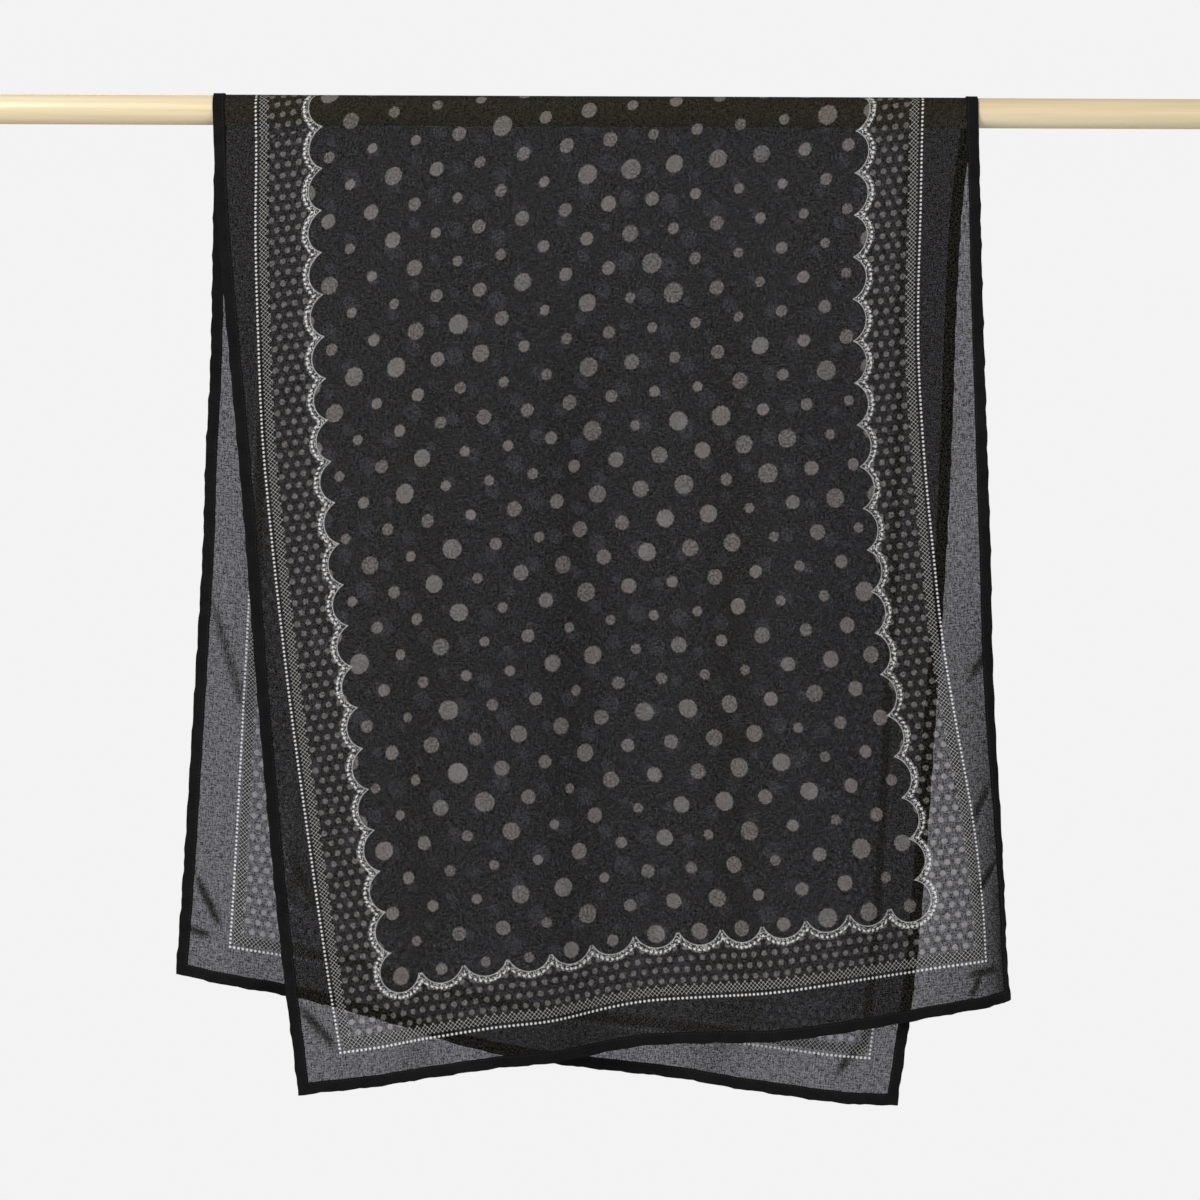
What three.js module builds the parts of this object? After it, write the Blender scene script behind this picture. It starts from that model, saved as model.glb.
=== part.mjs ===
import * as THREE from 'three';

// A long hijab scarf, draped over a round wooden rod.
// Millimetres, +Z up, the front fall towards -Y. The origin is on the rod's axis, half way along.

// Driving sizes
const rodLength = 1200;
const rodDiameter = 28;
const rodBevel = 1.5;
const clothWidth = 720;
const clothAskew = THREE.MathUtils.degToRad( 8.5 ); // of the scarf on the rod
const voileWall = 1.2;
const hemWidth = 11;
const hemWall = 1.8;
const hemEdgeWall = 1.2;
const seamGap = 0.3;
const foldsFormed = 0.3; // share of the drop by which the folds have their full swing

// The middle of the cloth's wall on the rod, which the hems clear by the seam gap
const wrapRadius = rodDiameter / 2 + seamGap + hemWall / 2;

// Fineness of the mesh
const rodFacets = 48;
const wrapSteps = 12;
const dropSteps = 18;
const panelColumns = 24;
const curlColumns = 8;
const walkStep = 4;
const swingTries = 30;
const swingRows = 40;
const mostSwing = 60;

// Outline of the front fall: drop runs from the rod, 0, to the end hem, 1, and left and right
// are where the side edges lie
const frontSections = [
	{ drop: 0, left: - 362.5, right: 354.1 },
	{ drop: 0.1, left: - 358.5, right: 356.4 },
	{ drop: 0.2, left: - 350.6, right: 358.8 },
	{ drop: 0.4, left: - 333.6, right: 365.3 },
	{ drop: 0.5, left: - 326.3, right: 369.3 },
	{ drop: 0.6, left: - 318.9, right: 372.3 },
	{ drop: 0.7, left: - 310.6, right: 377 },
	{ drop: 0.8, left: - 301.6, right: 383.2 },
	{ drop: 0.9, left: - 291.3, right: 388 },
	{ drop: 0.95, left: - 285.2, right: 389.8 },
	{ drop: 1, left: - 279.8, right: 393.6 }
];

// Outline of the back fall
const backSections = [
	{ drop: 0, left: - 363, right: 354.6 },
	{ drop: 0.05, left: - 363.8, right: 347 },
	{ drop: 0.1, left: - 364.6, right: 342 },
	{ drop: 0.2, left: - 365.5, right: 337.2 },
	{ drop: 0.3, left: - 367, right: 334.6 },
	{ drop: 0.4, left: - 370.9, right: 330.9 },
	{ drop: 0.5, left: - 373, right: 325.8 },
	{ drop: 0.6, left: - 377.3, right: 320 },
	{ drop: 0.8, left: - 386.4, right: 307.2 },
	{ drop: 0.9, left: - 391.3, right: 297.5 },
	{ drop: 1, left: - 397, right: 284.3 }
];

// Height of the end edges: across runs from the left edge, 0, to the right edge, 1
const frontEnd = [
	{ across: 0, z: - 926.4 },
	{ across: 0.12, z: - 915 },
	{ across: 0.19, z: - 904.4 },
	{ across: 0.27, z: - 896 },
	{ across: 0.36, z: - 891.5 },
	{ across: 0.49, z: - 878.1 },
	{ across: 0.62, z: - 872.8 },
	{ across: 0.74, z: - 863.1 },
	{ across: 0.85, z: - 854.1 },
	{ across: 0.92, z: - 845.6 },
	{ across: 1, z: - 837.3 }
];

const backEnd = [
	{ across: 0, z: - 813.5 },
	{ across: 0.15, z: - 835.9 },
	{ across: 0.28, z: - 857.4 },
	{ across: 0.42, z: - 881.1 },
	{ across: 0.52, z: - 895.6 },
	{ across: 0.6, z: - 905 },
	{ across: 0.66, z: - 910.4 },
	{ across: 0.73, z: - 915.4 },
	{ across: 0.8, z: - 920.6 },
	{ across: 0.86, z: - 925.2 },
	{ across: 0.94, z: - 932 },
	{ across: 1, z: - 934.4 }
];

// Soft folds down each fall: where each starts at the rod and ends at the hem, measured in the
// cloth from its left edge, how far it spreads to each side, and how deep it is beside the others.
// A negative depth comes forward. The two falls nest in each other.
const frontFolds = [
	{ atRod: 95, atEnd: 10, spread: 66, depth: 0.7 },
	{ atRod: 176, atEnd: 96, spread: 30, depth: 0.3 },
	{ atRod: 238, atEnd: 164, spread: 72, depth: - 1 },
	{ atRod: 322, atEnd: 252, spread: 32, depth: - 0.35 },
	{ atRod: 396, atEnd: 333, spread: 76, depth: 0.9 },
	{ atRod: 476, atEnd: 420, spread: 30, depth: 0.35 },
	{ atRod: 546, atEnd: 496, spread: 70, depth: - 0.95 },
	{ atRod: 664, atEnd: 622, spread: 56, depth: 0.6 }
];

const backFolds = [
	{ atRod: 20, atEnd: 48, spread: 34, depth: - 0.3 },
	{ atRod: 96, atEnd: 136, spread: 68, depth: 0.9 },
	{ atRod: 182, atEnd: 224, spread: 32, depth: 0.35 },
	{ atRod: 258, atEnd: 306, spread: 74, depth: - 0.95 },
	{ atRod: 421, atEnd: 480, spread: 72, depth: 0.9 },
	{ atRod: 500, atEnd: 556, spread: 30, depth: - 0.3 },
	{ atRod: 574, atEnd: 638, spread: 72, depth: - 0.9 }
];

// The lower part of the front fall's right margin turns back: where across the cloth the turn
// starts and is full, how far it goes, and the drops where it starts and is full
const curlTurn = THREE.MathUtils.degToRad( 64 );
const frontCurl = { start: 630, full: 715, turn: curlTurn, startDrop: 0.3, fullDrop: 0.95 };
const noCurl = { start: 630, full: 715, turn: 0, startDrop: 0, fullDrop: 1 };

// A value of a table's column, on a smooth curve through its rows
function lookUp( table, key, column, at ) {

	const last = table.length - 1;
	let i = 0;
	while ( i < last - 1 && at > table[ i + 1 ][ key ] ) i ++;
	const rise = ( a, b, name ) => table[ b ][ name ] - table[ a ][ name ];
	const span = rise( i, i + 1, key );
	const t = THREE.MathUtils.clamp( ( at - table[ i ][ key ] ) / span, 0, 1 );
	const before = Math.max( i - 1, 0 );
	const after = Math.min( i + 2, last );
	const startSlope = rise( before, i + 1, column ) / rise( before, i + 1, key ) * span;
	const endSlope = rise( i, after, column ) / rise( i, after, key ) * span;
	const t2 = t * t;
	const t3 = t2 * t;
	return ( 2 * t3 - 3 * t2 + 1 ) * table[ i ][ column ] + ( t3 - 2 * t2 + t ) * startSlope
		+ ( 3 * t2 - 2 * t3 ) * table[ i + 1 ][ column ] + ( t3 - t2 ) * endSlope;

}

// Evenly spaced values from start to end
function spread( start, end, steps ) {

	return Array.from( { length: steps + 1 }, ( _, i ) => start + ( end - start ) * i / steps );

}

// One fall of the cloth. Its rows keep the cloth's width: where the outline is narrower, the
// folds take up the rest, apart from close under the rod.
function makeFall( { side, sections, end, folds, curl } ) {

	// Out-of-plane depth of the folds, and its slope, where the swing is 1
	function foldShape( u, drop ) {

		let depth = 0;
		let slope = 0;
		for ( const fold of folds ) {

			const centre = THREE.MathUtils.lerp( fold.atRod, fold.atEnd, drop );
			const x = ( u - centre ) / fold.spread;
			const bump = fold.depth * Math.exp( - x * x );
			depth += bump;
			slope -= 2 * x * bump / fold.spread;

		}

		return { depth, slope };

	}

	// Angle by which the margin turns back at a point
	function curlAngle( u, drop ) {

		const across = THREE.MathUtils.smoothstep( u, curl.start, curl.full );
		return curl.turn * across * THREE.MathUtils.smoothstep( drop, curl.startDrop, curl.fullDrop );

	}

	// Walks along a row from the left edge to u: run is the way along the row as seen from the
	// front, depth the way back
	function walk( u, drop, swing ) {

		const steps = Math.max( 1, Math.ceil( u / walkStep ) );
		const step = u / steps;
		let run = 0;
		let depth = swing * foldShape( 0, drop ).depth;
		for ( let i = 0; i < steps; i ++ ) {

			const middle = ( i + 0.5 ) * step;
			const slope = swing * foldShape( middle, drop ).slope;
			const angle = Math.atan( slope ) + curlAngle( middle, drop );
			run += step * Math.cos( angle );
			depth += step * Math.sin( angle );

		}

		return { run, depth };

	}

	const endHeight = ( across ) => lookUp( end, 'across', 'z', across );

	// The two ends of a row
	function rowEnds( drop ) {

		const endAt = ( edge, across ) => new THREE.Vector3(
			lookUp( sections, 'drop', edge, drop ), 0, drop * endHeight( across )
		);
		const left = endAt( 'left', 0 );
		const right = endAt( 'right', 1 );
		return { left, right, length: left.distanceTo( right ) };

	}

	// Cloth in a row: all of its width at the end hem, which it runs along, and less at the rod,
	// which it crosses askew
	const rowCloth = ( drop ) => clothWidth * Math.cos( clothAskew * ( 1 - drop ) );

	// The swing of the folds that fits a row's cloth into its outline, found by halving
	function findSwing( drop ) {

		const target = rowEnds( drop ).length * clothWidth / rowCloth( drop );
		let low = 0;
		let high = mostSwing;
		for ( let i = 0; i < swingTries; i ++ ) {

			const middle = ( low + high ) / 2;
			if ( walk( clothWidth, drop, middle ).run > target ) low = middle;
			else high = middle;

		}

		return low;

	}

	const swings = spread( 0, 1, swingRows ).map( ( drop ) => (
		{ drop, swing: findSwing( drop ) * THREE.MathUtils.smoothstep( drop, 0, foldsFormed ) }
	) );

	// A point of the cloth's middle, u across from the left edge
	function pointAt( u, drop ) {

		const swing = lookUp( swings, 'drop', 'swing', drop );
		const ends = rowEnds( drop );
		const here = walk( u, drop, swing );
		const across = here.run / walk( clothWidth, drop, swing ).run;
		const point = ends.left.clone().lerp( ends.right, across );
		point.z = drop * endHeight( across );
		point.y = side * wrapRadius + here.depth;
		return point;

	}

	// Height of the fall from the rod to the end edge
	const height = ( u ) => - endHeight( u / clothWidth );
	return { pointAt, height };

}

const frontFall = makeFall( {
	side: - 1, sections: frontSections, end: frontEnd, folds: frontFolds, curl: frontCurl
} );
const backFall = makeFall( {
	side: 1, sections: backSections, end: backEnd, folds: backFolds, curl: noCurl
} );

// The cloth over the rod: angle runs from the front, - 90 degrees, to the back, 90 degrees
function wrapPoint( u, angle ) {

	const share = angle / Math.PI + 0.5;
	const x = THREE.MathUtils.lerp( frontFall.pointAt( u, 0 ).x, backFall.pointAt( u, 0 ).x, share );
	return new THREE.Vector3( x, wrapRadius * Math.sin( angle ), wrapRadius * Math.cos( angle ) );

}

// A closed wall on both sides of a surface. surface gives a point for a column and a row,
// walls the wall's thickness in each column.
function makeWall( surface, columns, rows, walls ) {

	const reach = 1e-3; // step to each side for the surface's slopes
	const positions = [];
	const index = [];
	const across = columns.length;
	const layer = across * rows.length;

	for ( const face of [ 1, - 1 ] ) {

		for ( const row of rows ) {

			columns.forEach( ( column, j ) => {

				const alongRow = surface( column + reach, row ).sub( surface( column - reach, row ) );
				const alongColumn = surface( column, row + reach ).sub( surface( column, row - reach ) );
				const normal = alongColumn.cross( alongRow ).normalize();
				const point = surface( column, row ).addScaledVector( normal, face * walls[ j ] / 2 );
				positions.push( point.x, point.y, point.z );

			} );

		}

	}

	const addQuad = ( a, b, c, d ) => index.push( a, b, c, a, c, d );
	for ( let i = 0; i < rows.length - 1; i ++ ) {

		for ( let j = 0; j < across - 1; j ++ ) {

			const corner = i * across + j;
			const below = corner + across;
			addQuad( corner, below, below + 1, corner + 1 );
			addQuad( layer + corner, layer + corner + 1, layer + below + 1, layer + below );

		}

	}

	// The rim, all round the two faces
	const rim = [];
	for ( let i = 0; i < rows.length - 1; i ++ ) rim.push( i * across );
	for ( let j = 0; j < across - 1; j ++ ) rim.push( ( rows.length - 1 ) * across + j );
	for ( let i = rows.length - 1; i > 0; i -- ) rim.push( i * across + across - 1 );
	for ( let j = across - 1; j > 0; j -- ) rim.push( j );
	rim.forEach( ( a, i ) => {

		const b = rim[ ( i + 1 ) % rim.length ];
		addQuad( a, layer + a, layer + b, b );

	} );

	const geometry = new THREE.BufferGeometry();
	geometry.setAttribute( 'position', new THREE.Float32BufferAttribute( positions, 3 ) );
	geometry.setIndex( index );
	geometry.computeVertexNormals();
	return geometry;

}

const model = new THREE.Group();

function addPiece( name, geometry, { color, roughness } ) {

	const material = new THREE.MeshStandardMaterial( { color, roughness, metalness: 0 } );
	const mesh = new THREE.Mesh( geometry, material );
	mesh.name = name;
	model.add( mesh );
	return mesh;

}

const voile = { color: 0x35353a, roughness: 0.9 };
const hem = { color: 0x111113, roughness: 0.85 };
const wood = { color: 0xecdcb8, roughness: 0.45 };

// Columns and rows of the cloth's pieces
const panelStart = hemWidth + seamGap;
const panelEnd = clothWidth - panelStart;
const panel = [
	...spread( panelStart, frontCurl.start, panelColumns ),
	...spread( frontCurl.start, panelEnd, curlColumns ).slice( 1 )
];
const panelWalls = panel.map( () => voileWall );
const leftHem = spread( 0, hemWidth, 2 );
const rightHem = leftHem.map( ( u ) => clothWidth - hemWidth + u );
const hemWalls = [ hemEdgeWall, hemWall, hemEdgeWall ];
const endHemWalls = panel.map( () => hemWall );

// The falls, each with two side hems and an end hem. A row's share runs down a piece, and the
// piece's start and stop are distances from the rod and from the end edge.
function addFall( name, fall ) {

	const stretch = ( start, stop ) => ( u, share ) => {

		const height = fall.height( u );
		return fall.pointAt( u, THREE.MathUtils.lerp( start / height, 1 - stop / height, share ) );

	};

	const rows = spread( 0, 1, dropSteps );
	const halfGap = seamGap / 2;
	addPiece( `${ name }_fall`, makeWall( stretch( halfGap, panelStart ), panel, rows, panelWalls ), voile );
	addPiece( `${ name }_hem_left`, makeWall( stretch( halfGap, 0 ), leftHem, rows, hemWalls ), hem );
	addPiece( `${ name }_hem_right`, makeWall( stretch( halfGap, 0 ), rightHem, rows, hemWalls ), hem );

	const endHem = ( u, share ) => fall.pointAt( u, 1 - hemWidth * ( 1 - share ) / fall.height( u ) );
	addPiece( `${ name }_hem_end`, makeWall( endHem, panel, [ 0, 1 ], endHemWalls ), hem );

}

addFall( 'front', frontFall );
addFall( 'back', backFall );

// The stretch over the rod, with its two side hems
const wrapEnd = Math.PI / 2 - seamGap / 2 / wrapRadius;
const wrapRows = spread( - wrapEnd, wrapEnd, wrapSteps );
addPiece( 'over_rod', makeWall( wrapPoint, panel, wrapRows, panelWalls ), voile );
addPiece( 'over_rod_hem_left', makeWall( wrapPoint, leftHem, wrapRows, hemWalls ), hem );
addPiece( 'over_rod_hem_right', makeWall( wrapPoint, rightHem, wrapRows, hemWalls ), hem );

// The rod, turned, with its end edges taken off
const rodProfile = [
	new THREE.Vector2( 0, - rodLength / 2 ),
	new THREE.Vector2( rodDiameter / 2 - rodBevel, - rodLength / 2 ),
	new THREE.Vector2( rodDiameter / 2, rodBevel - rodLength / 2 ),
	new THREE.Vector2( rodDiameter / 2, rodLength / 2 - rodBevel ),
	new THREE.Vector2( rodDiameter / 2 - rodBevel, rodLength / 2 ),
	new THREE.Vector2( 0, rodLength / 2 )
];
const rod = addPiece( 'rod', new THREE.LatheGeometry( rodProfile, rodFacets ), wood );
rod.rotation.z = - Math.PI / 2;

export default model;
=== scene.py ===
import math
from functools import partial

import bmesh
import bpy
import numpy as np
from mathutils import Matrix, Vector


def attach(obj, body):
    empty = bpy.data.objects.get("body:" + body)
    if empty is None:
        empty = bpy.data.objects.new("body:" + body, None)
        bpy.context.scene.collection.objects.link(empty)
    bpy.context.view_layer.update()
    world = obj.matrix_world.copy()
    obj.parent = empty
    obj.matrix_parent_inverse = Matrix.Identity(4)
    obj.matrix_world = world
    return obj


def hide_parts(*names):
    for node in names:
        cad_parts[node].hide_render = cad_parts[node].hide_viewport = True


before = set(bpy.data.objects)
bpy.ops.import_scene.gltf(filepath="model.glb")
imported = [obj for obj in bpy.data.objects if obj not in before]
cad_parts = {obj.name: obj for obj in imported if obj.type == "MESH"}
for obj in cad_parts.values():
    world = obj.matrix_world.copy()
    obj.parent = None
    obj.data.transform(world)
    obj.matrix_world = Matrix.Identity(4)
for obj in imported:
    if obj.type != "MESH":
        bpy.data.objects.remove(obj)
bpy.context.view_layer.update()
mm = 0.001
print("frame loaded")


# How finely the drape is worked out
masterSize = {"columns": 361, "fallRows": 301, "rodRows": 16}

# How the scarf lies over its rod. Sizes are in mm, angles in degrees.
drape = {
    "clothWidth": 720,
    "clothLength": 1800,
    "clothAskew": 8.5,  # of the scarf on the rod
    "clothRadius": 14.4,  # from the rod's axis to the middle of the cloth over it
    "foldsFormed": 0.3,  # share of the drop by which the folds have their full swing
    "curlStart": 630,  # across the cloth, where the front fall's right margin starts to turn back
    "curlFull": 715,
    "curlTurn": 64,
    "curlStartDrop": 0.3,
    "curlFullDrop": 0.95,
}

# Outlines of the falls, in mm, set from edges that a script measured in the photograph: drop from the
# rod, 0, to the end hem, 1, left edge, right edge
frontSections = [
    (0, -362.5, 354.1), (0.1, -358.5, 356.4), (0.2, -350.6, 358.8), (0.4, -333.6, 365.3),
    (0.5, -326.3, 369.3), (0.6, -318.9, 372.3), (0.7, -310.6, 377), (0.8, -301.6, 383.2),
    (0.9, -291.3, 388), (0.95, -285.2, 389.8), (1, -279.8, 393.6),
]
backSections = [
    (0, -363, 354.6), (0.05, -363.8, 347), (0.1, -364.6, 342), (0.2, -365.5, 337.2), (0.3, -367, 334.6),
    (0.4, -370.9, 330.9), (0.5, -373, 325.8), (0.6, -377.3, 320), (0.8, -386.4, 307.2),
    (0.9, -391.3, 297.5), (1, -397, 284.3),
]

# End edges, measured in the same way: share of the way across, height
frontEnd = [
    (0, -926.4), (0.12, -915), (0.19, -904.4), (0.27, -896), (0.36, -891.5), (0.49, -878.1),
    (0.62, -872.8), (0.74, -863.1), (0.85, -854.1), (0.92, -845.6), (1, -837.3),
]
backEnd = [
    (0, -813.5), (0.15, -835.9), (0.28, -857.4), (0.42, -881.1), (0.52, -895.6), (0.6, -905),
    (0.66, -910.4), (0.73, -915.4), (0.8, -920.6), (0.86, -925.2), (0.94, -932), (1, -934.4),
]

# Soft folds: where each lies in the cloth at the rod and at the end hem, its spread to each side,
# and its depth beside the others. A negative depth comes forward.
frontFolds = [
    (95, 10, 66, 0.7), (176, 96, 30, 0.3), (238, 164, 72, -1), (322, 252, 32, -0.35),
    (396, 333, 76, 0.9), (476, 420, 30, 0.35), (546, 496, 70, -0.95), (664, 622, 56, 0.6),
]
backFolds = [
    (20, 48, 34, -0.3), (96, 136, 68, 0.9), (182, 224, 32, 0.35), (258, 306, 74, -0.95),
    (421, 480, 72, 0.9), (500, 556, 30, -0.3), (574, 638, 72, -0.9),
]


def smoothStep(x, low, high):
    t = np.clip((x - low) / (high - low), 0, 1)
    return t * t * (3 - 2 * t)


def lookUp(table, at, column=1):  # a smooth curve through a table's rows
    keys = np.array([row[0] for row in table], float)
    values = np.array([row[column] for row in table], float)
    at = np.clip(at, keys[0], keys[-1])
    i = np.clip(np.searchsorted(keys, at) - 1, 0, len(keys) - 2)
    before, after = np.maximum(i - 1, 0), np.minimum(i + 2, len(keys) - 1)
    span = keys[i + 1] - keys[i]
    t = (at - keys[i]) / span
    startSlope = (values[i + 1] - values[before]) / (keys[i + 1] - keys[before]) * span
    endSlope = (values[after] - values[i]) / (keys[after] - keys[i]) * span
    return ((2 * t**3 - 3 * t**2 + 1) * values[i] + (t**3 - 2 * t**2 + t) * startSlope
            + (3 * t**2 - 2 * t**3) * values[i + 1] + (t**3 - t**2) * endSlope)


def foldShape(folds, across, drop):  # depth of the folds, and its slope, where their swing is 1
    depth, slope = 0, 0
    for atRod, atEnd, spread, size in folds:
        x = (across - atRod - (atEnd - atRod) * drop) / spread
        depth = depth + size * np.exp(-x * x)
        slope = slope - 2 * x * size * np.exp(-x * x) / spread
    return depth, slope


def walkRow(fall, drop, swing):  # the way along a row and the way back, at even steps of the cloth
    steps = np.linspace(0, drape["clothWidth"], masterSize["columns"])
    middles, step = (steps[1:] + steps[:-1]) / 2, steps[1]
    angle = np.arctan(swing * foldShape(fall["folds"], middles, drop)[1])
    turned = smoothStep(middles, drape["curlStart"], drape["curlFull"])
    turned = turned * smoothStep(drop, drape["curlStartDrop"], drape["curlFullDrop"])
    angle = angle + math.radians(fall["turn"]) * turned
    run = np.append(0, np.cumsum(step * np.cos(angle)))
    depth = np.append(0, np.cumsum(step * np.sin(angle)))
    return steps, run, depth + swing * foldShape(fall["folds"], 0, drop)[0]


def rowEnds(fall, drop):  # where a row's two ends lie
    return [(lookUp(fall["sections"], drop, 1 + i), drop * lookUp(fall["end"], i)) for i in (0, 1)]


def findSwing(fall, drop):  # the swing that fits a row's cloth into its outline, found by halving
    (leftX, leftZ), (rightX, rightZ) = rowEnds(fall, drop)
    reach = math.hypot(rightX - leftX, rightZ - leftZ)
    target = reach / math.cos(math.radians(drape["clothAskew"]) * (1 - drop))
    low, high = 0, 60
    for _ in range(30):
        middle = (low + high) / 2
        if walkRow(fall, drop, middle)[1][-1] > target:
            low = middle
        else:
            high = middle
    return low * smoothStep(drop, 0, drape["foldsFormed"])


def fallRow(fall, drop, across):  # points of the cloth's middle along one row of a fall
    steps, run, depth = walkRow(fall, drop, lookUp(fall["swings"], drop))
    share = np.interp(across, steps, run) / run[-1]
    (leftX, _), (rightX, _) = rowEnds(fall, drop)
    y = fall["side"] * drape["clothRadius"] + np.interp(across, steps, depth)
    return np.stack([leftX + (rightX - leftX) * share, y, drop * lookUp(fall["end"], share)], -1)


frontFall = {
    "side": -1, "sections": frontSections, "end": frontEnd, "folds": frontFolds, "turn": drape["curlTurn"],
}
backFall = {"side": 1, "sections": backSections, "end": backEnd, "folds": backFolds, "turn": 0}
for fall in (frontFall, backFall):
    fall["swings"] = [(drop, findSwing(fall, drop)) for drop in np.linspace(0, 1, 41)]


# Creases on the falls, in mm as seen from the front: x and z at each end, width, and depth, which is
# negative where the crease stands forward. Ends in tenths were measured in the photograph.
frontCreases = [
    (-278.9, -842.7, -245.1, -880.9, 7, 3.4), (366.1, -507.9, 352.1, -529.5, 6, 2.6),
    (371.5, -632, 354.5, -664.5, 5, 3.6), (376.5, -707, 357.5, -736, 6, 3.4),
    (350.5, -809.1, 376.7, -806.2, 5, -2.8), (361.9, -812, 353.4, -829.7, 5, 2.8),
    (-346, -120, -322, -205, 14, -1.6), (-326, -420, -300, -520, 16, 1.6), (338, -250, 322, -360, 15, 1.4),
    (120, -700, 168, -800, 22, -1.5), (-120, -760, -60, -850, 20, 1.6), (236, -560, 262, -690, 20, 1.3),
    (-210, -330, -180, -470, 24, -1.2), (-290, -700, -262, -752, 9, -2),
]
backCreases = [
    (-365.4, -453.9, -331, -574.6, 10, -3), (-376.6, -722.7, -355.4, -766.6, 6, -3.4),
    (-386.4, -770.3, -366, -776.9, 5, 3), (262, -860, 225, -905, 8, 2.6), (300, -520, 282, -640, 13, 1.8),
    (-300, -700, -240, -800, 20, -1.8), (150, -800, 110, -890, 18, 1.8), (-60, -640, -110, -760, 22, -1.4),
    (312, -240, 300, -330, 12, -1.6), (20, -420, -16, -560, 24, 1.2),
]
creaseShadeLayers = 2  # extra layers of cloth that the sharpest creases hold, partly real and partly painted shade that darkens them
curlShade = 0.16  # and painted shade, as extra cloth, that darkens the front fall's right margin low down, where it curls


def creaseShapeAndShade(creases, x, z):  # depth of the creases, and the extra cloth along the narrow ones: partly real, partly painted shade that darkens them
    depth, creaseShadeExtra = np.zeros_like(x), np.zeros_like(x)
    for startX, startZ, endX, endZ, width, size in creases:
        alongX, alongZ = endX - startX, endZ - startZ
        length = math.hypot(alongX, alongZ)
        along = ((x - startX) * alongX + (z - startZ) * alongZ) / length
        off = np.clip(((x - startX) * alongZ - (z - startZ) * alongX) / length, -100, 100)
        fade = smoothStep(along, -width, 0.3 * length) * smoothStep(length - along, -width, 0.3 * length)
        depth += size * fade / np.cosh(off / (0.5 * width)) ** 2
        # Painted shade: narrow creases get extra cloth, which makes them darker
        creaseShadeExtra += creaseShadeLayers * np.clip(2 - width / 6, 0, 1) * fade / np.cosh(off / (0.24 * width)) ** 2
    return depth, creaseShadeExtra


# Small uneven waves that a sewn hem draws into the cloth, in mm
hemWaves = {"pucker": 0.4, "puckerReach": 14, "wobble": 0.4, "wobbleReach": 12}


def hemPucker(fromEdge, along, start):  # how far the cloth stands out beside its edge
    wave = np.sin((along + start) / 4.9) + 0.7 * np.sin((along + 2 * start) / 7.7) * np.sin(along / 31)
    return hemWaves["pucker"] * wave * np.exp(-fromEdge / hemWaves["puckerReach"])


def hemWobble(fromEdge, along, start):  # how far the edge wanders from its line, in the cloth
    wave = np.sin((along + 3 * start) / 2.3) * np.sin((along - start) / 13) + np.sin((along + start) / 5.6)
    return hemWaves["wobble"] * wave * np.exp(-fromEdge / hemWaves["wobbleReach"])


def makeMaster():  # the whole drape on a fine grid: x, y, z, place along the cloth, and density with painted fold shade
    across = np.linspace(0, drape["clothWidth"], masterSize["columns"])
    rowsInFall = masterSize["fallRows"]
    drops = np.linspace(1, 0, rowsInFall)
    front = np.array([fallRow(frontFall, drop, across) for drop in drops])
    back = np.array([fallRow(backFall, drop, across) for drop in drops[::-1]])
    angles = np.linspace(-90, 90, masterSize["rodRows"] + 2)[1:-1]
    radius = drape["clothRadius"]
    wrap = []
    for angle in np.radians(angles):
        x = front[-1, :, 0] + (back[0, :, 0] - front[-1, :, 0]) * (angle / math.pi + 0.5)
        y, z = np.full_like(x, radius * math.sin(angle)), np.full_like(x, radius * math.cos(angle))
        wrap.append(np.stack([x, y, z], -1))
    points = np.concatenate([front, np.array(wrap), back])
    rows = np.concatenate([1 - drops, 1 + (angles + 90) / 180, 3 - drops])
    way = np.cumsum(np.linalg.norm(np.diff(points, axis=0, prepend=points[:1]), axis=2), axis=0)
    along = way / way[-1] * drape["clothLength"]

    creaseShadeExtra = np.zeros_like(along)
    for creases, part in ((frontCreases, slice(0, rowsInFall)), (backCreases, slice(-rowsInFall, None))):
        depth, creaseShadeExtra[part] = creaseShapeAndShade(creases, points[part, :, 0], points[part, :, 2])
        points[part, :, 1] += depth
    onFalls = smoothStep(np.abs(rows - 1.5), 0.5, 0.6)[:, None]  # no puckers over the rod
    width, length = drape["clothWidth"], drape["clothLength"]
    edges = ((across, along, 0, 0), (width - across, along, 40, 0),
             (along, across, 90, 2), (length - along, across, 130, 2))
    for fromEdge, alongEdge, start, axis in edges:
        pucker = hemPucker(fromEdge, alongEdge, start)
        points[..., 1] += onFalls * pucker
        points[..., axis] += onFalls * hemWobble(fromEdge, alongEdge, start)
    # Painted shade: the cloth is made denser, so darker and less see-through, where it turns away from the
    # front (-y). This is partly real, since a slant passes more yarn, and partly painted fold shade fixed for
    # the front view.
    normals = np.cross(np.gradient(points, axis=1), np.gradient(points, axis=0))
    facing = np.abs(normals[..., 1]) / np.linalg.norm(normals, axis=2)
    density = np.where(onFalls > 0, np.clip(1 / np.maximum(facing, 0.3), 1, 2.2), 1) + creaseShadeExtra
    # Painted shade: extra density darkens the curled right margin of the front fall low down
    density += curlShade * smoothStep(across, 600, 660) * smoothStep(1 - rows, 0.4, 0.7)[:, None]
    return across, rows, np.concatenate([points, along[..., None], density[..., None]], -1)


masterAcross, masterRows, master = makeMaster()


def clothAt(across, row):  # x, y, z, place along the cloth and density with painted fold shade: row runs 0-1 front, 1-2 rod, 2-3 back
    i = np.clip(np.interp(across, masterAcross, np.arange(len(masterAcross))), 0, len(masterAcross) - 1.001)
    j = np.clip(np.interp(row, masterRows, np.arange(len(masterRows))), 0, len(masterRows) - 1.001)
    i0, j0 = i.astype(int), j.astype(int)
    fi, fj = (i - i0)[..., None], (j - j0)[..., None]
    return ((master[j0, i0] * (1 - fi) + master[j0, i0 + 1] * fi) * (1 - fj)
            + (master[j0 + 1, i0] * (1 - fi) + master[j0 + 1, i0 + 1] * fi) * fj)


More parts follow.
